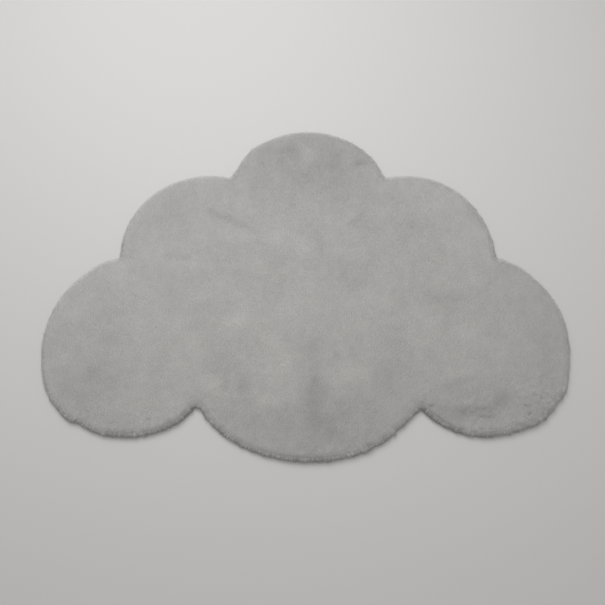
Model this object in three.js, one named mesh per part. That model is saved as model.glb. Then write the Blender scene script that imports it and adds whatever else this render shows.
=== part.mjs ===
// Cloud shaped kids rug: one cut piece of short plush, pile side up, lying flat.
// Millimetres, +Z up, +X along the long side, +Y towards the lobe at the top of the cloud.
// The origin is the middle of the rug's box, on the floor.

import * as THREE from 'three';

// Driving sizes of the cloud: round lobes that meet in soft notches. The side and upper lobes
// are mirrored to the left. Their places are measured from the middle between the side lobes.
const SIDE_LOBE = { x: 499, y: 0, radius: 261 };
const UPPER_LOBE = { x: 306, y: 271, radius: 257 };
const TOP_LOBE = { x: 0, y: 419, radius: 263 };
const BOTTOM_LOBE = { x: 0, y: 81, radius: 408 };
const NOTCH_RADIUS = 11;

// Driving sizes of the pile and of the ragged locks at its rim
const PILE_HEIGHT = 21;
const LOCK_REACH = 5;
const LOCK_LIFT = 0.3;
const NARROWEST_LOCK = 2;
const WIDEST_LOCK = 5;

// Steps of the mesh: places around the rim, and the spacing of points inside it
const RIM_PLACES = 480;
const TOP_SPACING = 24;
const CREASE_SPACING = 12;
const FOOT_SPACING = 90;

// Section through the rim, from the foot up: how far in from the outline, how high,
// and how much of the locks' raggedness shows there
const RIM_SECTION = [
  { inset: 8, height: 0, ragged: 0.2 },
  { inset: 1.5, height: 3, ragged: 0.9 },
  { inset: 0, height: 8, ragged: 1 },
  { inset: 4, height: 14, ragged: 0.65 },
  { inset: 12, height: 18.5, ragged: 0.3 },
  { inset: 24, height: PILE_HEIGHT, ragged: 0.1 },
];

// Where the edge departs from the round lobes: outwards is positive
const EDGE_BULGES = [
  { place: 'left swell', x: -707, y: -172, width: 120, out: 13 },
  { place: 'step in the left swell', x: -637, y: -221, width: 30, out: -4 },
  { place: 'foot of the left lobe', x: -409, y: -245, width: 90, out: 3.5 },
  { place: 'left end of the bottom lobe', x: -297, y: -188, width: 30, out: -3.5 },
  { place: 'left of the bottom lobe', x: -200, y: -275, width: 80, out: 3.3 },
  { place: 'right of the bottom lobe', x: 190, y: -283, width: 120, out: 5 },
  { place: 'foot of the right lobe', x: 406, y: -249, width: 50, out: 3 },
  { place: 'right swell', x: 669, y: -204, width: 80, out: 6 },
  { place: 'corner of the right swell', x: 726, y: -135, width: 20, out: 4.5 },
  { place: 'end of the flat', x: 741, y: -65, width: 30, out: -4 },
  { place: 'flat of the right lobe', x: 750, y: 5, width: 80, out: -6.5 },
  { place: 'top of the right lobe', x: 610, y: 238, width: 85, out: 7 },
  { place: 'side of the upper right lobe', x: 443, y: 487, width: 120, out: 3 },
  { place: 'right shoulder of the top lobe', x: 185, y: 610, width: 80, out: 4.5 },
  { place: 'left shoulder of the top lobe', x: -171, y: 623, width: 50, out: 3.5 },
  { place: 'left side of the top lobe', x: -218, y: 550, width: 35, out: -4.5 },
  { place: 'top of the upper left lobe', x: -354, y: 520, width: 110, out: -2.5 },
  { place: 'top of the left lobe', x: -610, y: 237, width: 50, out: 3 },
];

// Parted pile and packing folds, as soft troughs between two ends
const CREASES = [
  { place: 'centre fold', x1: 18, y1: 20, x2: 20, y2: -110, width: 24, depth: 2 },
  { place: 'deep end of the centre fold', x1: 20, y1: -110, x2: 6, y2: -262, width: 26, depth: 4 },
  { place: 'upper centre fold', x1: 24, y1: 365, x2: 30, y2: 245, width: 16, depth: 2 },
  { place: 'brushed hollow', x1: 62, y1: 235, x2: 118, y2: 160, width: 34, depth: 2.5 },
  { place: 'long parting', x1: -312, y1: 414, x2: -182, y2: 358, width: 20, depth: 3.5 },
  { place: 'short parting', x1: 122, y1: 358, x2: 166, y2: 398, width: 15, depth: 3 },
  { place: 'ruffle', x1: 405, y1: -190, x2: 492, y2: -188, width: 18, depth: 4.5 },
  { place: 'end of the ruffle', x1: 492, y1: -188, x2: 562, y2: -152, width: 16, depth: 4 },
  { place: 'inner side of the ruffle', x1: 372, y1: -128, x2: 468, y2: -98, width: 16, depth: 2.5 },
  { place: 'left streak', x1: -205, y1: -108, x2: -158, y2: -152, width: 16, depth: 2.5 },
  { place: 'left hollow', x1: -250, y1: -25, x2: -205, y2: -88, width: 28, depth: 2 },
  { place: 'top hollow', x1: -150, y1: 505, x2: -168, y2: 455, width: 32, depth: 2 },
];

// Broad unevenness of the brushed pile: how wide the swells are, and how high
const SWELLS = [
  { size: 170, height: 0.9 },
  { size: 75, height: 0.8 },
];

const PLUSH = new THREE.MeshStandardMaterial({ color: '#a19f9c', roughness: 0.95, metalness: 0 });

// A repeatable draw between 0 and 1 for each number
function draw(number) {
  const wave = Math.sin(number * 12.9898 + 4.1414) * 43758.5453;
  return wave - Math.floor(wave);
}

// The centre of the small arc that rounds the notch between two lobes, outside both of them.
// The second lobe follows the first when going round the cloud to the left.
function notchCentre(first, second) {
  const a = new THREE.Vector2(first.x, first.y);
  const b = new THREE.Vector2(second.x, second.y);
  const apart = a.distanceTo(b);
  const fromA = first.radius + NOTCH_RADIUS;
  const fromB = second.radius + NOTCH_RADIUS;
  const along = (apart ** 2 + fromA ** 2 - fromB ** 2) / (2 * apart);
  const aside = Math.sqrt(fromA ** 2 - along ** 2);
  const direction = b.clone().sub(a).normalize();
  const outward = new THREE.Vector2(direction.y, -direction.x);
  return a.addScaledVector(direction, along).addScaledVector(outward, aside);
}

// The cloud's outline: an arc for each lobe, and a small arc back for each notch
function cloudPath() {
  const mirrored = (lobe) => ({ ...lobe, x: -lobe.x });
  const rightSide = [SIDE_LOBE, UPPER_LOBE];
  const leftSide = [mirrored(UPPER_LOBE), mirrored(SIDE_LOBE)];
  const lobes = [...rightSide, TOP_LOBE, ...leftSide, BOTTOM_LOBE];
  const path = new THREE.CurvePath();
  lobes.forEach((lobe, index) => {
    const next = lobes[(index + 1) % lobes.length];
    const before = notchCentre(lobes.at(index - 1), lobe);
    const after = notchCentre(lobe, next);
    const angle = (from, to) => Math.atan2(to.y - from.y, to.x - from.x);
    const { x, y, radius } = lobe;
    path.add(new THREE.EllipseCurve(x, y, radius, radius, angle(lobe, before), angle(lobe, after)));
    path.add(new THREE.EllipseCurve(
      after.x,
      after.y,
      NOTCH_RADIUS,
      NOTCH_RADIUS,
      angle(after, lobe),
      angle(after, next),
      true,
    ));
  });
  return path;
}

// How far each place on the rim stands out or in: locks of uneven width and length
function lockReaches() {
  const reaches = [];
  for (let lock = 0; reaches.length < RIM_PLACES; lock++) {
    const width = NARROWEST_LOCK + Math.floor((WIDEST_LOCK - NARROWEST_LOCK + 1) * draw(lock));
    const length = LOCK_REACH * (0.25 + 0.75 * draw(lock + 0.5));
    for (let place = 0; place < width; place++) {
      reaches.push(length * Math.sin(Math.PI * (place + 0.5) / width) - LOCK_REACH / 2);
    }
  }
  return reaches.slice(0, RIM_PLACES);
}

// How far the edge stands out of the round lobes at a point of the outline
function edgeBulge(point) {
  return EDGE_BULGES.reduce((sum, bulge) => {
    const away = Math.hypot(point.x - bulge.x, point.y - bulge.y) / bulge.width;
    return sum + bulge.out * Math.exp(-away * away);
  }, 0);
}

// The places along the rim: the point on the edge, the way out, and the reach of its lock
function rimPlaces() {
  const path = cloudPath();
  return lockReaches().map((reach, index) => {
    const onLobe = path.getPoint(index / RIM_PLACES);
    const along = path.getTangent(index / RIM_PLACES);
    const out = new THREE.Vector2(along.y, -along.x);
    // The pile is brushed towards the back, so the locks hang loosest at the front edge
    const looseness = 0.6 - 0.4 * out.y + 0.15 * out.x;
    const edge = onLobe.clone().addScaledVector(out, edgeBulge(onLobe));
    return { edge, out, reach: reach * looseness };
  });
}

// Depth of one crease at a point: full halfway along its line, less at its ends, and fading
// out to its width
function creaseDepth(crease, x, y) {
  const run = new THREE.Vector2(crease.x2 - crease.x1, crease.y2 - crease.y1);
  const offset = new THREE.Vector2(x - crease.x1, y - crease.y1);
  const share = THREE.MathUtils.clamp(offset.dot(run) / run.lengthSq(), 0, 1);
  const away = offset.addScaledVector(run, -share).length() / crease.width;
  return crease.depth * (0.35 + 0.65 * Math.sin(Math.PI * share)) * Math.exp(-away * away);
}

// Smooth unevenness between -1 and 1, which changes over the given size
function unevenness(x, y, size) {
  const column = Math.floor(x / size);
  const row = Math.floor(y / size);
  const across = THREE.MathUtils.smoothstep(x / size - column, 0, 1);
  const up = THREE.MathUtils.smoothstep(y / size - row, 0, 1);
  const corner = (right, above) => 2 * draw(size + (row + above) * 57 + column + right) - 1;
  const below = THREE.MathUtils.lerp(corner(0, 0), corner(1, 0), across);
  const above = THREE.MathUtils.lerp(corner(0, 1), corner(1, 1), across);
  return THREE.MathUtils.lerp(below, above, up);
}

// Height of the pile's face over the floor
function pileHeight(x, y) {
  const swell = SWELLS.reduce((sum, { size, height }) => sum + height * unevenness(x, y, size), 0);
  const deepest = Math.max(...CREASES.map((crease) => creaseDepth(crease, x, y)));
  return PILE_HEIGHT + swell - deepest;
}

// The rings of the rim's section, from the foot to the top, as points in space
function rimRings() {
  const places = rimPlaces();
  return RIM_SECTION.map((row) => places.map(({ edge, out, reach }) => {
    const point = edge.clone().addScaledVector(out, reach * row.ragged - row.inset);
    const share = row.height / PILE_HEIGHT;
    const lift = row.height > 0 ? LOCK_LIFT * reach * row.ragged : 0;
    return new THREE.Vector3(point.x, point.y, share * pileHeight(point.x, point.y) + lift);
  }));
}

// Whether a point lies within a closed ring
function isWithin(ring, x, y) {
  let within = false;
  ring.forEach((a, index) => {
    const b = ring[(index + 1) % ring.length];
    const crossing = a.x + (b.x - a.x) * (y - a.y) / (b.y - a.y);
    if ((a.y > y) !== (b.y > y) && x < crossing) within = !within;
  });
  return within;
}

// Points on a staggered grid over a box, each moved a little at random
function gridPoints(box, spacing) {
  const rowStep = spacing * Math.sqrt(3) / 2;
  const rows = Math.ceil((box.max.y - box.min.y) / rowStep);
  const columns = Math.ceil((box.max.x - box.min.x) / spacing);
  const points = [];
  for (let row = 0; row < rows; row++) {
    for (let column = 0; column < columns; column++) {
      const number = row * columns + column;
      const x = box.min.x + (column + 0.5 * (row % 2) + 0.2 * draw(number)) * spacing;
      const y = box.min.y + (row + 0.2 * draw(number + 0.5)) * rowStep;
      points.push(new THREE.Vector2(x, y));
    }
  }
  return points;
}

// Points along a crease: down its middle and at both of its sides
function creasePoints(crease) {
  const start = new THREE.Vector2(crease.x1, crease.y1);
  const run = new THREE.Vector2(crease.x2, crease.y2).sub(start);
  const aside = new THREE.Vector2(-run.y, run.x).setLength(crease.width);
  const steps = Math.ceil(run.length() / CREASE_SPACING);
  const points = [];
  for (let step = 0; step <= steps; step++) {
    const middle = start.clone().addScaledVector(run, step / steps);
    points.push(middle, middle.clone().add(aside), middle.clone().sub(aside));
  }
  return points;
}

// The ring's own points, then each candidate inside it that lies clear of all points before it
function spacedPoints(ring, candidates, clearance) {
  const points = [...ring];
  candidates.forEach((candidate) => {
    const isClear = points.every((point) => (
      Math.hypot(point.x - candidate.x, point.y - candidate.y) > clearance
    ));
    if (isClear && isWithin(ring, candidate.x, candidate.y)) points.push(candidate);
  });
  return points;
}

// A triangle of three points, anticlockwise, with the circle through its corners
function circledTriangle(points, a, b, c) {
  const ab = points[b].clone().sub(points[a]);
  const ac = points[c].clone().sub(points[a]);
  const twist = 2 * ab.cross(ac);
  const toCentre = new THREE.Vector2(
    (ac.y * ab.lengthSq() - ab.y * ac.lengthSq()) / twist,
    (ab.x * ac.lengthSq() - ac.x * ab.lengthSq()) / twist,
  );
  return { corners: [a, b, c], centre: toCentre.clone().add(points[a]), radius: toCentre.length() };
}

// Even triangles between points: each new point takes the place of every triangle whose circle
// it falls in. What lies outside the ring, in the notches, is dropped at the end.
function trianglesWithin(ring, points) {
  const far = 1e5;
  const frame = [[-far, -far], [far, -far], [0, far]].map(([x, y]) => new THREE.Vector2(x, y));
  const framed = [...points, ...frame];
  const count = points.length;
  let triangles = [circledTriangle(framed, count, count + 1, count + 2)];
  points.forEach((point, index) => {
    const openEdges = new Map();
    triangles = triangles.filter(({ corners, centre, radius }) => {
      if (centre.distanceTo(point) >= radius) return true;
      corners.forEach((a, corner) => {
        const b = corners[(corner + 1) % 3];
        if (!openEdges.delete(`${b} ${a}`)) openEdges.set(`${a} ${b}`, [a, b]);
      });
      return false;
    });
    openEdges.forEach(([a, b]) => triangles.push(circledTriangle(framed, a, b, index)));
  });
  return triangles.map(({ corners }) => corners).filter((corners) => {
    if (Math.max(...corners) >= count) return false;
    const middle = new THREE.Vector2();
    corners.forEach((corner) => middle.addScaledVector(points[corner], 1 / 3));
    return isWithin(ring, middle.x, middle.y);
  });
}

// The rug: its rim between two faces, the uneven pile above and the flat foot below
function rugGeometry() {
  const rings = rimRings();
  const vertices = rings.flat();
  const triangles = [];
  for (let row = 0; row + 1 < rings.length; row++) {
    for (let place = 0; place < RIM_PLACES; place++) {
      const next = (place + 1) % RIM_PLACES;
      const low = row * RIM_PLACES;
      const high = low + RIM_PLACES;
      triangles.push([low + place, low + next, high + next]);
      triangles.push([low + place, high + next, high + place]);
    }
  }

  const addFace = (ring, firstOfRing, candidates, spacing, heightAt, isTurned) => {
    const outline = ring.map(({ x, y }) => new THREE.Vector2(x, y));
    const points = spacedPoints(outline, candidates, 0.55 * spacing);
    const firstInside = vertices.length;
    points.slice(outline.length).forEach(({ x, y }) => {
      vertices.push(new THREE.Vector3(x, y, heightAt(x, y)));
    });
    const numbered = (corner) => (
      corner < outline.length ? firstOfRing + corner : firstInside + corner - outline.length
    );
    trianglesWithin(outline, points).forEach((corners) => {
      const face = corners.map(numbered);
      triangles.push(isTurned ? face.reverse() : face);
    });
  };
  const box = new THREE.Box2().setFromPoints(rings[0]);
  const creased = [...CREASES.flatMap(creasePoints), ...gridPoints(box, TOP_SPACING)];
  addFace(rings.at(-1), (rings.length - 1) * RIM_PLACES, creased, TOP_SPACING, pileHeight, false);
  addFace(rings[0], 0, gridPoints(box, FOOT_SPACING), FOOT_SPACING, () => 0, true);

  const geometry = new THREE.BufferGeometry().setFromPoints(vertices);
  geometry.setIndex(triangles.flat());
  geometry.computeBoundingBox();
  const middle = geometry.boundingBox.getCenter(new THREE.Vector3());
  geometry.translate(-middle.x, -middle.y, 0);
  geometry.computeVertexNormals();
  return geometry;
}

const rug = new THREE.Mesh(rugGeometry(), PLUSH);
rug.name = 'rug';

const part = new THREE.Group();
part.add(rug);

export default part;
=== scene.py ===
import math

import bpy
import numpy as np
from mathutils import Matrix, Vector
from mathutils.geometry import delaunay_2d_cdt
from mathutils.kdtree import KDTree


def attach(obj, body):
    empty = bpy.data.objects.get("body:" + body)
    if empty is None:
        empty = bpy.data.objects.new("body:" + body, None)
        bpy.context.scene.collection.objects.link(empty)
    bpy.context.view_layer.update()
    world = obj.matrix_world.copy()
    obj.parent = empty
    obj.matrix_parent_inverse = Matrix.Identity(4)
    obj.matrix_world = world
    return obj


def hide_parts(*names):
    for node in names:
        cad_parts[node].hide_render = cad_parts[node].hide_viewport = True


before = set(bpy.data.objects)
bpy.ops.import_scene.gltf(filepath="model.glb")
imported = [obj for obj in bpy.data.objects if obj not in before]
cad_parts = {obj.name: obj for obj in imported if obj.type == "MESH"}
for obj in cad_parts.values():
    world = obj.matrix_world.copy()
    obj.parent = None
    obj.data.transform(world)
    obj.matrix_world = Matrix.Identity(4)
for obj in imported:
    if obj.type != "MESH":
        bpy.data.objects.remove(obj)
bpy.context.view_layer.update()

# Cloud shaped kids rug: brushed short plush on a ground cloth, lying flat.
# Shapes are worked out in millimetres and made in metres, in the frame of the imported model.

MM = 0.001

# How far apart the numbers are that two rows of the noise begin with
NOISE_ROW = 57

# The cloud's round lobes: x, y and radius, measured from the middle between the side lobes. The
# side and upper lobes are mirrored to the left. The whole rug's box has its middle at BOX_MIDDLE.
SIDE_LOBE = (499.0, 0.0, 261.0)
UPPER_LOBE = (306.0, 271.0, 257.0)
TOP_LOBE = (0.0, 419.0, 263.0)
BOTTOM_LOBE = (0.0, 81.0, 408.0)
NOTCH_RADIUS = 11.0
BOX_MIDDLE = np.array([-3.35, 177.25])

# The pile: how high its tips stand, and how far the dense part lies below them
PILE_HEIGHT = 21.0
TIPS_OVER_BODY = 3.6

# Points along the edge are about this far apart
EDGE_STEP = 1.0

# Where the edge departs from the round lobes: x, y, width, out (outwards is positive)
EDGE_BULGES = [
    (-707, -172, 120, 13),
    (-637, -221, 30, -4),
    (-409, -245, 90, 3.5),
    (-297, -188, 30, -3.5),
    (-200, -275, 80, 3.3),
    (190, -283, 120, 5),
    (406, -249, 50, 3),
    (669, -204, 80, 6),
    (726, -135, 20, 4.5),
    (741, -65, 30, -4),
    (750, 5, 80, -6.5),
    (610, 238, 85, 7),
    (443, 487, 120, 3),
    (185, 610, 80, 4.5),
    (-171, 623, 50, 3.5),
    (-218, 550, 35, -4.5),
    (-354, 520, 110, -2.5),
    (-610, 237, 50, 3),
]

# Locks of hair that stand out of the edge or are missing there, in the same columns
EDGE_LOCKS = [
    (-755, -47, 22, -2),
    (-669, -210, 18, 4),
    (-564, -255, 28, 2.5),
    (-363, -226, 16, 3.5),
    (191, -284, 12, 2),
    (250, -241, 14, -2),
    (329, -199, 10, -2.5),
    (393, -240, 10, -2),
    (553, -253, 42, -2.5),
    (679, -189, 16, -3),
    (703, -163, 12, -2),
    (583, 255, 16, 3.5),
    (561, 278, 14, -3),
    (230, 536, 14, -3.5),
    (-176, 618, 14, 2),
    (-557, 279, 12, -3),
]

# Parted pile and packing folds: x and y of both ends, width, depth. At its ends a crease has a
# share of its full depth, and the pile leans away from it by a share of that depth.
CREASE_END_SHARE = 0.35
CREASE_LEAN = 0.15
CREASES = [
    (18, 20, 20, -110, 24, 2),
    (20, -110, 6, -262, 26, 4),
    (24, 365, 30, 245, 16, 2),
    (62, 235, 118, 160, 34, 2.5),
    (-312, 414, -182, 358, 20, 3.5),
    (122, 358, 166, 398, 15, 3),
    (405, -190, 492, -188, 18, 4.5),
    (492, -188, 562, -152, 16, 4),
    (372, -128, 468, -98, 16, 2.5),
    (-205, -108, -158, -152, 16, 2.5),
    (-250, -25, -205, -88, 28, 2),
    (-150, 505, -168, 455, 32, 2),
]

# Broad unevenness of the pile's face: size, height
SWELLS = [(170, 0.9), (75, 0.8)]

# The nap: its heading in degrees from +X and how much that swings, its lean for each unit of
# height and how much that changes
NAP_HEADING = 88
NAP_SWING = 8
NAP_LEAN = 0.8
NAP_LEAN_SWING = 0.04

# The drawing together of the hairs into clumps: size, pull where the pile is combed, and the
# further pull where it is loose
CLUMPS = [(10, 0.07, 0.8), (5, 0.04, 0.5)]

# Patches of painted sheen and shade where the pile is brushed another way, and painted shade along
# its partings and creases: x, y, half length, half width, turn in degrees, and how much lighter or
# darker they are painted
PAINTED_SHEEN_AND_SHADE_PATCHES = [
    (0, 580, 230, 150, 0, -0.19),
    (-300, 310, 200, 140, 0, -0.04),
    (-410, 420, 120, 70, 45, -0.06),
    (420, -190, 240, 70, 0, -0.04),
    (200, -110, 90, 60, 0, -0.04),
    (-620, -110, 140, 130, 0, -0.09),
    (0, -230, 240, 70, 0, -0.08),
    (700, 0, 90, 130, 0, -0.06),
    (0, 590, 20, 30, 0, 0.12),
    (-85, 520, 24, 18, 0, 0.07),
    (60, 535, 16, 26, 10, 0.05),
    (-105, 315, 40, 22, 25, 0.07),
    (-10, 282, 26, 24, -30, 0.1),
    (-225, 318, 55, 26, 0, 0.05),
    (-350, 232, 80, 12, -4, 0.07),
    (-200, 62, 38, 28, 15, 0.12),
    (-95, -65, 70, 60, 0, 0.06),
    (-105, -165, 46, 20, 0, 0.12),
    (138, -88, 46, 34, 10, 0.1),
    (210, 118, 120, 30, -28, 0.06),
    (448, 5, 60, 80, -15, 0.05),
    (-270, -118, 30, 24, 0, 0.1),
    (-655, -145, 60, 26, -35, -0.05),
    (-600, 70, 60, 50, 0, -0.03),
    (-500, -180, 90, 40, 0, 0.03),
    (-405, 150, 110, 60, 10, -0.03),
    (-230, -55, 36, 44, 20, -0.05),
    (-178, -128, 26, 18, 40, -0.1),
    (-235, -130, 14, 12, 0, -0.08),
    (-55, 612, 22, 16, 0, -0.1),
    (165, 566, 24, 13, 20, -0.12),
    (80, 560, 12, 20, 0, -0.03),
    (-152, 490, 40, 50, 0, -0.05),
    (26, 315, 16, 50, 3, -0.04),
    (90, 240, 50, 36, -35, -0.06),
    (135, 175, 40, 26, 0, -0.06),
    (318, 358, 70, 24, -6, -0.05),
    (505, 398, 32, 22, 40, -0.05),
    (402, 132, 62, 22, -8, -0.06),
    (78, -42, 18, 34, 0, -0.07),
    (62, -245, 20, 24, 0, -0.08),
    (18, -50, 22, 60, 0, -0.04),
    (14, -150, 24, 100, -3, -0.13),
    (-228, 370, 62, 14, -24, -0.15),
    (-300, 404, 40, 10, -24, -0.05),
    (142, 376, 26, 9, 42, -0.12),
    (448, -188, 56, 13, 3, -0.17),
    (535, -160, 40, 16, 30, -0.13),
    (420, -112, 54, 12, 16, -0.07),
    (640, -195, 60, 30, 40, -0.05),
    (330, -175, 26, 18, 0, -0.06),
    (-300, -165, 18, 22, 0, -0.05),
]

# Places where the pile is uncombed and stands in locks: x, y, size, how much
UNCOMBED = [
    (640, -190, 75, 1.0),
    (480, -190, 60, 0.8),
    (400, -240, 60, 0.5),
    (325, -190, 32, 1.0),
    (-302, -180, 26, 0.8),
    (-640, -225, 32, 1.0),
    (-420, -245, 70, 0.5),
    (120, -300, 110, 0.35),
]

# Tufts: spacing and the share of it that they are moved at random, length, radius at the root,
# and how deep they are rooted in the dense pile
TUFT_SPACING = 2.25
TUFT_JITTER = 0.9
TUFT_LENGTH = 7.6
TUFT_RADIUS = 1.5
ROOT_DEPTH = 1.6
TUFT_SEED = 11

# The value that colours a hair from its root to its tip, darker towards the root as painted shade
# deep in the pile: 0 deep in the pile, this much at a tuft's root, 1 at its tip
ROOT_REACH = 0.3

# The tufts of the face are shared out over this many pieces, from left to right
PILE_PIECES = 4

# The rim, this wide from the edge, has its own finer tufts, in rows that begin at LOWEST_ROW
# along its section. At RIM_FALL from the edge the nap begins to give way, and at SHOULDER_END
# the hairs fall outwards. Tufts rooted under FOOT_HEIGHT don't rise and sink with the face, and
# those under SHADE_HEIGHT get less painted highlight, a painted shade near the floor.
RIM_WIDTH = 22.0
RIM_TUFT_SPACING = 1.7
RIM_TUFT_RADIUS = 0.9
LOWEST_ROW = 0.6
RIM_FALL = 21.0
SHOULDER_END = 5
FOOT_HEIGHT = 3
SHADE_HEIGHT = 8

# Hairs of the rim: the least and the greatest length, the share of strays and how much longer
# they are, and how far all of them stay over the floor
SHORTEST_HAIR = 2.5
LONGEST_HAIR = 1.5 * TUFT_LENGTH
STRAY_SHARE = 0.06
STRAY_LENGTH = 1.3
FLOOR_GAP = 0.4

# How the rim's hairs draw together along the edge: course of the unevenness, size, strength, and
# for the locks the pull to the side
RIM_LOCKS = [(0, 16, 1.0, 1.1), (1, 7, 0.7, 0.9)]
RIM_STROKES = [(2, 3.2, 1.0), (3, 7, 0.5)]

# The strokes: how far the hairs are drawn aside into them, how much their roots rise and sink,
# and how much lighter and darker they are painted, a painted highlight on them and painted shade
# between them
STROKE_PULL = 0.35
STROKE_DEPTH = 0.9
STROKE_PAINTED_LIGHT_AND_SHADE = 0.38

# Section through the rim of the dense pile, from the foot up: inset from the edge, height
BODY_SECTION = [
    (12.0, 1.8),
    (6.8, 2.8),
    (4.5, 5.0),
    (4.0, 8.0),
    (5.0, 11.0),
    (7.8, 13.8),
    (12.0, 15.9),
    (17.5, 17.0),
    (24.0, PILE_HEIGHT - TIPS_OVER_BODY),
]

# Section through the edge of the ground cloth under the pile, in the same columns
CLOTH_SECTION = [(9.6, 0.2), (9.0, 0.9), (9.6, 1.6)]

# Meshing of the flat bodies: points round the edge, spacing on the face and on the foot
BODY_MESH = (1080, 6.0, 40.0)
CLOTH_MESH = (720, 16.0, 16.0)
MESH_SEED = 3

# The camera stands in front of the rug and looks steeply down on it, a little rolled. Places of
# the camera and the lights are in metres.
CAMERA_PLACE = Vector((-0.0206, -0.3903, 1.3775))
CAMERA_AIM = Vector((-0.0124, -0.0552, 0.0))
CAMERA_ROLL = math.radians(1.524)
FOCAL_PIXELS = 480
IMAGE_PIXELS = 605
SENSOR_MM = 36
CAMERA_REACH = 50

# Soft lights that face the rug's middle: name, place, size, power, colour
LIGHTS = [
    ("window", (-0.7, 1.7, 2.2), (2.0, 1.4), 52, (0.97, 0.98, 1.0)),
    ("ceiling", (0.1, 0.5, 2.8), (3.0, 3.0), 53, (1.0, 0.985, 0.96)),
]
FLOOR_HALF = 40.0


def draw(number):
    """A repeatable draw between 0 and 1 for each number."""
    wave = np.sin(number * 12.9898 + 4.1414) * 43758.5453
    return wave - np.floor(wave)


def unevenness(x, y, size):
    """Smooth unevenness between -1 and 1, which changes over the given size."""
    column, row = np.floor(x / size), np.floor(y / size)
    across, up = x / size - column, y / size - row
    across, up = across * across * (3 - 2 * across), up * up * (3 - 2 * up)

    def corner(right, above):
        return 2 * draw(size + (row + above) * NOISE_ROW + column + right) - 1

    below = corner(0, 0) * (1 - across) + corner(1, 0) * across
    above = corner(0, 1) * (1 - across) + corner(1, 1) * across
    return below * (1 - up) + above * up


def unit(vectors):
    """Vectors with their length made 1."""
    return vectors / np.linalg.norm(vectors, axis=1)[:, None]


def along_edge(run, course, size):
    """Unevenness along the edge; each course is another one of the same size."""
    return unevenness(run, np.full(len(run), float(course)), size)


def edge_slope(run, course, size, reach):
    """How the unevenness along the edge changes from one side of a place to the other."""
    return along_edge(run + reach, course, size) - along_edge(run - reach, course, size)


def notch_centre(first, second):
    """Centre of the small arc in the notch between a lobe and the next one anticlockwise."""
    a, b = np.array(first[:2]), np.array(second[:2])
    apart = np.linalg.norm(b - a)
    from_a, from_b = first[2] + NOTCH_RADIUS, second[2] + NOTCH_RADIUS
    along = (apart ** 2 + from_a ** 2 - from_b ** 2) / (2 * apart)
    aside = math.sqrt(from_a ** 2 - along ** 2)
    direction = (b - a) / apart
    return a + direction * along + np.array([direction[1], -direction[0]]) * aside


def arc(centre, radius, first, last):
    """Points and outward directions along an arc, from the ray through one point to the ray
    through another. A radius below 0 is a notch, passed backwards."""
    start = math.atan2(first[1] - centre[1], first[0] - centre[0])
    end = math.atan2(last[1] - centre[1], last[0] - centre[0])
    turn = (end - start) % (2 * math.pi)
    if radius < 0:
        turn -= 2 * math.pi
    count = max(4, int(abs(turn * radius) / EDGE_STEP))
    angles = start + turn * np.arange(count) / count
    ray = np.column_stack([np.cos(angles), np.sin(angles)])
    return centre + ray * abs(radius), ray * math.copysign(1, radius)


def lobed_edge():
    """Points and outward directions round the lobes and the notches between them."""
    mirrored = [(-x, y, r) for x, y, r in (UPPER_LOBE, SIDE_LOBE)]
    lobes = [SIDE_LOBE, UPPER_LOBE, TOP_LOBE, *mirrored, BOTTOM_LOBE]
    arcs = []
    for index, lobe in enumerate(lobes):
        centre = np.array(lobe[:2])
        following = lobes[(index + 1) % len(lobes)]
        before, after = notch_centre(lobes[index - 1], lobe), notch_centre(lobe, following)
        arcs.append(arc(centre, lobe[2], before, after))
        arcs.append(arc(after, -NOTCH_RADIUS, centre, following))
    return np.vstack([points for points, _ in arcs]), np.vstack([ways for _, ways in arcs])


class Outline:
    """The cloud's edge, as points about a millimetre apart with the way out at each."""

    def __init__(self):
        lobed, self.out = lobed_edge()
        bulge = np.zeros(len(lobed))
        for x, y, width, out in EDGE_BULGES + EDGE_LOCKS:
            away = np.hypot(lobed[:, 0] - x, lobed[:, 1] - y) / width
            bulge += out * np.exp(-away ** 2)
        self.edge = lobed + self.out * bulge[:, None]
        gaps = np.linalg.norm(np.diff(self.edge, axis=0, append=self.edge[:1]), axis=1)
        self.run = np.concatenate([[0], np.cumsum(gaps)])
        self.length = self.run[-1]
        self.tree = KDTree(len(self.edge))
        for index, (x, y) in enumerate(self.edge):
            self.tree.insert((x, y, 0), index)
        self.tree.balance()

    def at(self, run):
        """Edge points and ways out at distances along the edge."""
        def along(values):
            closed = np.vstack([values, values[:1]])
            return np.column_stack([np.interp(run % self.length, self.run, v) for v in closed.T])

        return along(self.edge), unit(along(self.out))

    def insets(self, points):
        """How far inside the edge each point lies; below 0 is outside."""
        nearest = np.array([self.tree.find((x, y, 0))[1] for x, y in points])
        offset = self.edge[nearest] - points
        side = np.sign((offset * self.out[nearest]).sum(axis=1))
        return side * np.linalg.norm(offset, axis=1)


# The one outline that every shape is made to
outline = Outline()


def crease_field(x, y):
    """Depth of the creases, and how the pile leans away from them, at places."""
    depth = np.zeros_like(x)
    lean = np.zeros((len(x), 2))
    for x1, y1, x2, y2, width, deepest in CREASES:
        run = np.array([x2 - x1, y2 - y1], dtype=float)
        offset = np.column_stack([x - x1, y - y1])
        share = np.clip(offset @ run / (run @ run), 0, 1)
        offset -= share[:, None] * run
        away = np.linalg.norm(offset, axis=1) / width
        along = CREASE_END_SHARE + (1 - CREASE_END_SHARE) * np.sin(math.pi * share)
        fade = np.exp(-away ** 2) * along
        depth = np.maximum(depth, deepest * fade)
        lean += offset / width * (fade * deepest * CREASE_LEAN)[:, None]
    return depth, lean


def pile_height(x, y):
    """Height of the pile's face over the floor."""
    swell = sum(height * unevenness(x, y, size) for size, height in SWELLS)
    return PILE_HEIGHT + swell - crease_field(x, y)[0]


def body_height(x, y):
    """Height of the dense part of the pile, below its tips, with the small hills of its clumps."""
    clumps = 0.2 * unevenness(x, y, 13) + 0.08 * unevenness(y, x, 7)
    return pile_height(x, y) - TIPS_OVER_BODY + clumps


def cloth_height(x, y):
    """Height of the ground cloth's upper side, even all over."""
    return np.full(len(x), CLOTH_SECTION[-1][1])


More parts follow.
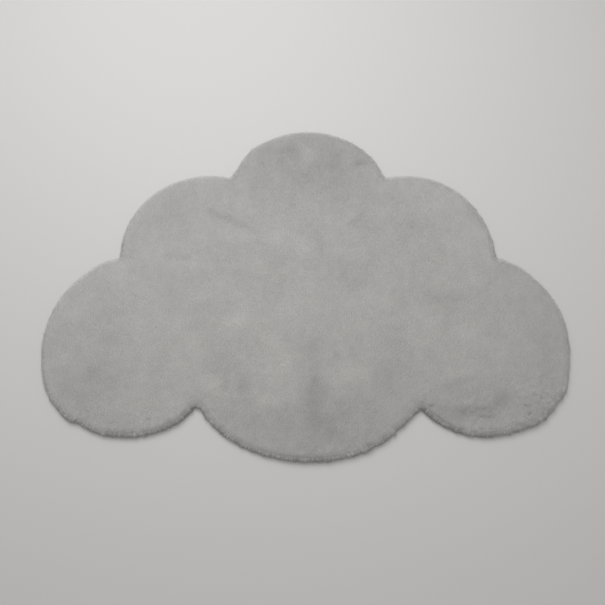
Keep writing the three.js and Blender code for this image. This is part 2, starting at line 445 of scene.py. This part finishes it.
def mottle_and_painted_nap_light(x, y):
    """How much lighter or darker the pile is painted at places: random mottle, and painted sheen and
    shade where the brushed pile and its creases turn to or from the light.
    """
    broad, middling, small = unevenness(x, y, 120), unevenness(x + 7, y, 46), unevenness(y, x, 21)
    tone = 0.014 * broad + 0.026 * middling + 0.03 * small
    for px, py, length, width, turn, shade in PAINTED_SHEEN_AND_SHADE_PATCHES:
        c, s = math.cos(math.radians(turn)), math.sin(math.radians(turn))
        along, aside = (x - px) * c + (y - py) * s, (y - py) * c - (x - px) * s
        tone = tone + shade * np.exp(-((along / length) ** 2 + (aside / width) ** 2))
    return tone


def uncombed(x, y):
    """How far the pile stands in locks at places, from 0 to 1."""
    share = np.zeros_like(x)
    for px, py, size, how_much in UNCOMBED:
        share = np.maximum(share, how_much * np.exp(-((x - px) ** 2 + (y - py) ** 2) / size ** 2))
    return share


def staggered_grid(spacing, jitter, random):
    """Points on a staggered grid over the whole cloud, moved a little at random."""
    low, high = outline.edge.min(axis=0), outline.edge.max(axis=0)
    rows = np.arange(low[1], high[1], spacing * math.sqrt(3) / 2)
    columns = np.arange(low[0], high[0], spacing)
    x, y = np.meshgrid(columns, rows)
    x[1::2] += spacing / 2
    points = np.column_stack([x.ravel(), y.ravel()])
    return points + spacing * jitter * (random.random(points.shape) - 0.5)


def fill_ring(ring, inset, spacing, random):
    """Inner points and triangles of a face bounded by a ring of points at that inset."""
    inner = staggered_grid(spacing, 0.35, random)
    inner = inner[outline.insets(inner) > inset + 0.6 * spacing]
    points = [Vector(p) for p in np.vstack([ring, inner])]
    inside_only, tolerance = 1, 1e-6
    border = [list(range(len(ring)))]
    result = delaunay_2d_cdt(points, [], border, inside_only, tolerance)
    order = np.array([original[0] for original in result[3]])
    return inner, order[np.array(result[2])]


def flat_body(section, meshing, top_height):
    """A closed flat body: rings round its rim, given as inset and height from the foot up, a top
    that follows top_height, and a flat foot. The rings rise and sink with the top's height."""
    places, top_spacing, foot_spacing = meshing
    random = np.random.default_rng(MESH_SEED)
    edge, out = outline.at(np.arange(places) * outline.length / places)
    foot, nominal = section[0][1], section[-1][1]
    rings, vertices = [], []
    for inset, height in section:
        ring = edge - out * inset
        levels = np.full(places, height)
        if height > foot:
            levels += height / nominal * (top_height(ring[:, 0], ring[:, 1]) - nominal)
        rings.append(ring)
        vertices.append(np.column_stack([ring, levels]))

    here = np.arange(places)
    after = (here + 1) % places
    triangles = []
    for row in range(len(section) - 1):
        low, high = row * places, (row + 1) * places
        triangles.append(np.column_stack([low + here, low + after, high + after]))
        triangles.append(np.column_stack([low + here, high + after, high + here]))

    count = len(section) * places
    ends = [(len(section) - 1, top_spacing, False), (0, foot_spacing, True)]
    for row, spacing, is_foot in ends:
        inner, faces = fill_ring(rings[row], section[row][0], spacing, random)
        level = np.full(len(inner), foot) if is_foot else top_height(inner[:, 0], inner[:, 1])
        vertices.append(np.column_stack([inner, level]))
        faces = np.where(faces < places, faces + row * places, faces - places + count)
        triangles.append(faces[:, ::-1] if is_foot else faces)
        count += len(inner)
    return np.vstack(vertices), np.vstack(triangles)


def mesh_object(name, vertices, triangles, material, values=None):
    """An object from points in millimetres and triangles, with named values at its points."""
    placed = vertices - np.array([*BOX_MIDDLE, 0])
    mesh = bpy.data.meshes.new(name)
    mesh.vertices.add(len(placed))
    mesh.vertices.foreach_set("co", (placed * MM).astype(np.float32).ravel())
    mesh.loops.add(triangles.size)
    mesh.loops.foreach_set("vertex_index", triangles.astype(np.int32).ravel())
    mesh.polygons.add(len(triangles))
    mesh.polygons.foreach_set("loop_start", np.arange(0, triangles.size, 3, dtype=np.int32))
    mesh.update(calc_edges=True)
    mesh.polygons.foreach_set("use_smooth", np.ones(len(triangles), dtype=bool))
    for key, numbers in (values or {}).items():
        attribute = mesh.attributes.new(key, "FLOAT", "POINT")
        attribute.data.foreach_set("value", numbers.astype(np.float32))
    mesh.materials.append(material)
    piece = bpy.data.objects.new(name, mesh)
    bpy.context.collection.objects.link(piece)
    return piece


def tuft_arrays(roots, directions, lengths, radii, tones):
    """Three sided tapering tufts: three points at each root and one at its tip. Each is turned
    its own way round its length."""
    count = len(roots)
    along_no_tuft = np.array([0.31, 0.17, 0.93])
    side = unit(np.cross(directions, along_no_tuft))
    other = np.cross(directions, side)
    turn = draw(np.arange(count) * 0.731) * 2 * math.pi
    points = np.empty((count, 4, 3))
    for corner in range(3):
        angle = turn + corner * 2 * math.pi / 3
        ray = side * np.cos(angle)[:, None] + other * np.sin(angle)[:, None]
        points[:, corner] = roots + ray * radii[:, None]
    points[:, 3] = roots + directions * lengths[:, None]
    first = 4 * np.arange(count)[:, None]
    faces = np.concatenate([first + np.array([[k, (k + 1) % 3, 3]]) for k in range(3)])
    values = {
        "tone": np.repeat(tones, 4),
        "reach": np.tile([ROOT_REACH, ROOT_REACH, ROOT_REACH, 1.0], count),
    }
    return points.reshape(-1, 3), faces, values


def varied_radii(radius, count, random):
    """Root radii of tufts, a little different from one to the next."""
    return radius * (0.85 + 0.3 * random.random(count))


def nap(x, y):
    """Sideways lean of the pile for each unit of its height: the brushing, the way the pile
    falls away from the creases, and the drawing together of the hairs into clumps."""
    swing = NAP_SWING * unevenness(x, y, 240) + NAP_SWING * unevenness(y, x, 85)
    heading = np.radians(NAP_HEADING + swing)
    steepness = NAP_LEAN + NAP_LEAN_SWING * unevenness(x + 40, y, 60)
    lean = np.column_stack([np.cos(heading), np.sin(heading)]) * steepness[:, None]
    lean += crease_field(x, y)[1]
    loose = uncombed(x, y)
    for size, combed_pull, loose_pull in CLUMPS:
        reach = 0.25 * size
        dx = unevenness(x + reach, y, size) - unevenness(x - reach, y, size)
        dy = unevenness(x, y + reach, size) - unevenness(x, y - reach, size)
        pull = combed_pull + loose_pull * loose
        lean += pull[:, None] * np.column_stack([dx, dy])
    return lean


def top_tufts(random):
    """Tufts all over the rug's face, leaning with the nap."""
    places = staggered_grid(TUFT_SPACING, TUFT_JITTER, random)
    places = places[outline.insets(places) > RIM_WIDTH]
    x, y = places.T
    count = len(places)
    lean = nap(x, y) + 0.045 * random.standard_normal((count, 2))
    roots = np.column_stack([places, body_height(x, y) - ROOT_DEPTH])
    directions = unit(np.column_stack([lean, np.ones(count)]))
    lengths = TUFT_LENGTH * (0.9 + 0.2 * random.random(count) + 0.05 * unevenness(x, y, 9))
    radii = varied_radii(TUFT_RADIUS, count, random)
    # The tones are random mottle with the painted sheen and shade of the nap
    tones = mottle_and_painted_nap_light(x, y) + 0.006 * random.standard_normal(count)
    return roots, directions, lengths, radii, tones


class RimPlaces:
    """Places where the rim's tufts are rooted, in rows from the foot up over the shoulder, and
    how the pile lies at each."""

    def __init__(self, random):
        section = np.array(BODY_SECTION)
        gaps = np.linalg.norm(np.diff(section, axis=0), axis=1)
        climb = np.concatenate([[0], np.cumsum(gaps)])
        rows = np.arange(LOWEST_ROW, climb[-1], RIM_TUFT_SPACING)
        per_row = int(outline.length / RIM_TUFT_SPACING)
        row, place = [v.ravel() for v in np.meshgrid(rows, np.arange(per_row), indexing="ij")]
        self.count = len(row)
        row = row + RIM_TUFT_SPACING * (random.random(self.count) - 0.5)
        self.run = (place + TUFT_JITTER * random.random(self.count)) * RIM_TUFT_SPACING
        edge, self.out = outline.at(self.run)
        inset = np.interp(row, climb, section[:, 0])
        self.height = np.interp(row, climb, section[:, 1])
        ground = edge - self.out * inset[:, None]
        self.x, self.y = ground.T

        # The way the surface faces there, from the section a little behind and ahead
        span = 1.5
        behind, ahead = (np.clip(row + way, 0, climb[-1]) for way in (-span, span))
        inward, rise = (np.interp(ahead, climb, v) - np.interp(behind, climb, v) for v in section.T)
        steep = np.hypot(rise, inward)
        outward, self.upward = rise / steep, inward / steep
        self.normal = np.column_stack([self.out * outward[:, None], self.upward])
        self.hang = np.clip(outward, 0, 1)

        # How far the nap has given way, and how loosely the hairs hold together
        fall = np.clip((RIM_FALL - inset) / (RIM_FALL - SHOULDER_END), 0, 1)
        self.fall = fall * fall * (3 - 2 * fall)
        self.looseness = 0.25 - 0.15 * self.out[:, 1] + 0.1 * self.out[:, 0]
        self.looseness += 0.8 * uncombed(self.x, self.y)
        self.locks = sum(
            strength * along_edge(self.run, course, size) for course, size, strength, _ in RIM_LOCKS
        )
        self.strokes = sum(
            strength * along_edge(self.run, course, size) for course, size, strength in RIM_STROKES
        )

        # The strokes are ridges and grooves in the height of the roots
        level = self.height * body_height(self.x, self.y) / section[-1, 1]
        level = np.where(self.height > FOOT_HEIGHT, level, self.height)
        groove = STROKE_DEPTH * self.strokes * self.fall
        self.roots = np.column_stack([ground, level])
        self.roots += unit(self.normal) * (groove - ROOT_DEPTH)[:, None]


def rim_directions(rim, random):
    """Ways the rim's hairs point. The nap rules the face of the rug and gives way over the
    shoulder, where they fall outwards. Along the edge they draw together into strokes and locks."""
    hold = (np.clip(rim.upward, 0, 1) ** 1.5 * 0.9 + 0.1) * (1 - 0.8 * rim.fall)
    lean = nap(rim.x, rim.y) * hold[:, None] + rim.out * (0.5 * rim.fall * rim.upward)[:, None]
    course, size, _ = RIM_STROKES[0]
    slope = edge_slope(rim.run, course, size, 0.25 * size)
    drift = 0.06 * random.standard_normal(rim.count) + STROKE_PULL * slope
    for course, size, _, pull in RIM_LOCKS:
        drift += pull * rim.looseness * edge_slope(rim.run, course, size, 0.2 * size)
    sideways = np.column_stack([-rim.out[:, 1], rim.out[:, 0]])
    directions = rim.normal.copy()
    directions[:, :2] += lean + sideways * (drift * (0.3 + 0.7 * rim.hang))[:, None]
    directions[:, 2] += -0.3 * rim.hang + 0.1 * random.standard_normal(rim.count)
    return unit(directions)


def rim_lengths(rim, random):
    """Lengths of the rim's hairs: longer in the locks, with a few strays."""
    locks = 0.55 * rim.looseness * rim.locks * rim.hang
    lengths = TUFT_LENGTH * (0.85 + 0.2 * random.random(rim.count) + locks)
    lengths *= np.where(random.random(rim.count) < STRAY_SHARE, STRAY_LENGTH, 1.0)
    return np.clip(lengths, SHORTEST_HAIR, LONGEST_HAIR)


def keep_over_floor(roots, directions, lengths):
    """Roots and lengths changed so that no hair reaches through the floor."""
    falling = np.maximum(-directions[:, 2], 0.05)
    room = np.maximum(np.maximum(roots[:, 2] - FLOOR_GAP, 0.6) / falling, 1.5)
    lengths = np.where(directions[:, 2] < 0, np.minimum(lengths, room), lengths)
    roots = roots.copy()
    roots[:, 2] = np.maximum(roots[:, 2], FLOOR_GAP - directions[:, 2] * lengths)
    return roots, lengths


def rim_tones(rim, random):
    """Tones of the rim's hairs: a painted highlight on the hanging hairs and over the shoulder,
    strongest at the front, painted light on the strokes with painted shade between them, and painted
    shade close to the floor."""
    facing_front = np.clip(-rim.out[:, 1], 0, 1)
    near_floor = np.clip(1 - rim.height / SHADE_HEIGHT, 0, 1)
    # Painted highlight where the hairs hang and fall over the shoulder, most at the front, less near
    # the floor as painted shade
    painted_rim_light = rim.hang * (0.18 + 0.27 * facing_front - 0.1 * near_floor)
    painted_rim_light += rim.fall * (0.13 + 0.1 * facing_front + 0.05 * rim.out[:, 0])
    # Painted light on the strokes and painted shade in the gaps between them
    painted_stroke_light_and_shade = STROKE_PAINTED_LIGHT_AND_SHADE * rim.strokes * rim.fall * (0.35 + 0.65 * facing_front)
    tones = mottle_and_painted_nap_light(rim.x, rim.y) + painted_rim_light + painted_stroke_light_and_shade
    return tones + 0.01 * random.standard_normal(rim.count)


def rim_tufts(random):
    """Tufts round the rim, from the rug's face over its shoulder and down to the floor."""
    rim = RimPlaces(random)
    directions = rim_directions(rim, random)
    roots, lengths = keep_over_floor(rim.roots, directions, rim_lengths(rim, random))
    radii = varied_radii(RIM_TUFT_RADIUS, rim.count, random)
    return roots, directions, lengths, radii, rim_tones(rim, random)


def principled(name):
    """A new node material and its shader."""
    material = bpy.data.materials.new(name)
    material.use_nodes = True
    nodes = material.node_tree.nodes
    nodes.clear()
    shader = nodes.new("ShaderNodeBsdfPrincipled")
    output = nodes.new("ShaderNodeOutputMaterial")
    material.node_tree.links.new(shader.outputs["BSDF"], output.inputs["Surface"])
    return material, shader


def node(material, kind, inputs=None, **settings):
    """A node with its settings and inputs; an input given as a socket is linked."""
    made = material.node_tree.nodes.new(kind)
    for key, value in settings.items():
        setattr(made, key, value)
    for key, value in (inputs or {}).items():
        if isinstance(value, bpy.types.NodeSocket):
            material.node_tree.links.new(value, made.inputs[key])
        else:
            made.inputs[key].default_value = value
    return made


def plush_material():
    """Plush hair: painted shade that darkens it towards its roots deep in the pile, painted sheen and
    shade where it is brushed to or from the light, finely mottled.
    """
    material, shader = principled("plush")
    link = material.node_tree.links.new
    place = node(material, "ShaderNodeTexCoord").outputs["Object"]
    reach = node(material, "ShaderNodeAttribute", attribute_name="reach").outputs["Fac"]
    tone = node(material, "ShaderNodeAttribute", attribute_name="tone").outputs["Fac"]
    # Painted shade deep in the pile: darker towards the roots, lightest at the tips
    depth = node(material, "ShaderNodeValToRGB", {"Fac": reach})
    depth.color_ramp.elements[0].color = (0.282, 0.275, 0.267, 1)
    depth.color_ramp.elements[1].color = (0.425, 0.414, 0.399, 1)
    mottle = node(material, "ShaderNodeTexNoise", {
        "Vector": place, "Scale": 45.0, "Detail": 3.0, "Roughness": 0.5,
    })
    mottled = node(material, "ShaderNodeMapRange", {
        "Value": mottle.outputs["Fac"],
        "From Min": 0.3, "From Max": 0.7, "To Min": -0.02, "To Max": 0.02,
    })
    shade = node(material, "ShaderNodeMath", {0: tone, 1: mottled.outputs["Result"]}, operation="ADD")
    bright = node(material, "ShaderNodeMath", {0: shade.outputs[0], 1: 1.0}, operation="ADD")
    coloured = node(material, "ShaderNodeVectorMath", {
        0: depth.outputs["Color"], "Scale": bright.outputs[0],
    }, operation="SCALE")
    link(coloured.outputs["Vector"], shader.inputs["Base Color"])
    fine = node(material, "ShaderNodeTexNoise", {"Vector": place, "Scale": 900.0, "Detail": 3.0})
    bump = node(material, "ShaderNodeBump", {
        "Height": fine.outputs["Fac"], "Strength": 0.4, "Distance": 0.0008,
    })
    link(bump.outputs["Normal"], shader.inputs["Normal"])
    rough = node(material, "ShaderNodeMapRange", {
        "Value": mottle.outputs["Fac"], "To Min": 0.78, "To Max": 0.95,
    })
    link(rough.outputs["Result"], shader.inputs["Roughness"])
    shader.inputs["Specular IOR Level"].default_value = 0.25
    shader.inputs["Sheen Weight"].default_value = 0.3
    shader.inputs["Sheen Roughness"].default_value = 0.45
    shader.inputs["Sheen Tint"].default_value = (0.96, 0.97, 1.0, 1)
    return material


def ground_cloth_material():
    """The knitted ground cloth under the pile: fine rows of stitches in off white."""
    material, shader = principled("ground_cloth")
    link = material.node_tree.links.new
    place = node(material, "ShaderNodeTexCoord").outputs["Object"]
    rows = node(material, "ShaderNodeTexWave", {
        "Vector": place, "Scale": 110.0, "Distortion": 1.2, "Detail": 1.0, "Detail Scale": 3.0,
    }, bands_direction="X")
    courses = node(material, "ShaderNodeTexWave", {
        "Vector": place, "Scale": 90.0, "Distortion": 1.2, "Detail": 1.0, "Detail Scale": 3.0,
    }, bands_direction="Y")
    stitches = node(material, "ShaderNodeMath", {
        0: rows.outputs["Fac"], 1: courses.outputs["Fac"],
    }, operation="MULTIPLY")
    wear = node(material, "ShaderNodeTexNoise", {"Vector": place, "Scale": 9.0, "Detail": 4.0})
    thread = node(material, "ShaderNodeMix", {
        "Factor": stitches.outputs[0], "A": (0.42, 0.41, 0.4, 1), "B": (0.62, 0.61, 0.59, 1),
    }, data_type="RGBA")
    soiled = node(material, "ShaderNodeMapRange", {
        "Value": wear.outputs["Fac"],
        "From Min": 0.3, "From Max": 0.7, "To Min": 0.9, "To Max": 1.05,
    })
    coloured = node(material, "ShaderNodeVectorMath", {
        0: thread.outputs["Result"], "Scale": soiled.outputs["Result"],
    }, operation="SCALE")
    link(coloured.outputs["Vector"], shader.inputs["Base Color"])
    bump = node(material, "ShaderNodeBump", {
        "Height": stitches.outputs[0], "Strength": 0.6, "Distance": 0.0006,
    })
    link(bump.outputs["Normal"], shader.inputs["Normal"])
    rough = node(material, "ShaderNodeMapRange", {
        "Value": wear.outputs["Fac"], "To Min": 0.8, "To Max": 0.95,
    })
    link(rough.outputs["Result"], shader.inputs["Roughness"])
    return material


def floor_material():
    """A plain pale floor."""
    material, shader = principled("pale_floor")
    shader.inputs["Base Color"].default_value = (0.46, 0.45, 0.435, 1)
    shader.inputs["Roughness"].default_value = 0.6
    shader.inputs["Specular IOR Level"].default_value = 0.2
    return material


def add_camera():
    """The camera, with the place, lens and roll that were fitted to the photo."""
    data = bpy.data.cameras.new("camera")
    data.sensor_width = SENSOR_MM
    data.lens = SENSOR_MM * FOCAL_PIXELS / IMAGE_PIXELS
    data.clip_end = CAMERA_REACH
    camera = bpy.data.objects.new("camera", data)
    bpy.context.collection.objects.link(camera)
    ahead = (CAMERA_AIM - CAMERA_PLACE).normalized()
    right = ahead.cross(Vector((0, 0, 1))).normalized()
    up = right.cross(ahead)
    turned = math.cos(CAMERA_ROLL) * right + math.sin(CAMERA_ROLL) * up
    upright = math.cos(CAMERA_ROLL) * up - math.sin(CAMERA_ROLL) * right
    facing = Matrix((turned, upright, -ahead)).transposed().to_4x4()
    camera.matrix_world = Matrix.Translation(CAMERA_PLACE) @ facing
    bpy.context.scene.camera = camera


def add_light(name, place, size, power, colour):
    """A soft light that faces the middle of the rug."""
    data = bpy.data.lights.new(name, "AREA")
    data.shape = "RECTANGLE"
    data.size, data.size_y = size
    data.energy = power
    data.color = colour
    light = bpy.data.objects.new(name, data)
    light.location = place
    light.rotation_euler = (-Vector(place)).to_track_quat("-Z", "Y").to_euler()
    light.visible_camera = False
    bpy.context.collection.objects.link(light)


def add_stage():
    """The floor, the soft lights and the even light all round."""
    mesh = bpy.data.meshes.new("floor")
    sides = [(-1, -1), (1, -1), (1, 1), (-1, 1)]
    corners = [(x * FLOOR_HALF, y * FLOOR_HALF, 0) for x, y in sides]
    mesh.from_pydata(corners, [], [(0, 1, 2, 3)])
    floor = bpy.data.objects.new("floor", mesh)
    mesh.materials.append(floor_material())
    bpy.context.collection.objects.link(floor)
    for light in LIGHTS:
        add_light(*light)
    world = bpy.data.worlds.new("room")
    world.use_nodes = True
    background = world.node_tree.nodes["Background"]
    background.inputs["Color"].default_value = (0.95, 0.96, 1.0, 1)
    background.inputs["Strength"].default_value = 0.36
    bpy.context.scene.world = world
    bpy.context.scene.view_settings.view_transform = "Standard"


plush = plush_material()

points, faces = flat_body(BODY_SECTION, BODY_MESH, body_height)
# The dense pile takes the darkest, root end of the painted depth shade, and the painted sheen and
# shade of the nap
body_values = {
    "tone": mottle_and_painted_nap_light(points[:, 0], points[:, 1]),
    "reach": np.zeros(len(points)),
}
dense_pile = mesh_object("dense_pile", points, faces, plush, body_values)

random = np.random.default_rng(TUFT_SEED)
tufts = top_tufts(random)
order = np.argsort(tufts[0][:, 0])
pile_pieces = []
for number, share in enumerate(np.array_split(order, PILE_PIECES), 1):
    points, faces, values = tuft_arrays(*(array[share] for array in tufts))
    pile_pieces.append(mesh_object(f"pile_{number}", points, faces, plush, values))
points, faces, values = tuft_arrays(*rim_tufts(random))
pile_pieces.append(mesh_object("rim_pile", points, faces, plush, values))

points, faces = flat_body(CLOTH_SECTION, CLOTH_MESH, cloth_height)
ground_cloth = mesh_object("ground_cloth", points, faces, ground_cloth_material())

for piece in (dense_pile, *pile_pieces, ground_cloth):
    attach(piece, "root")
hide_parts("rug")

add_camera()
add_stage()
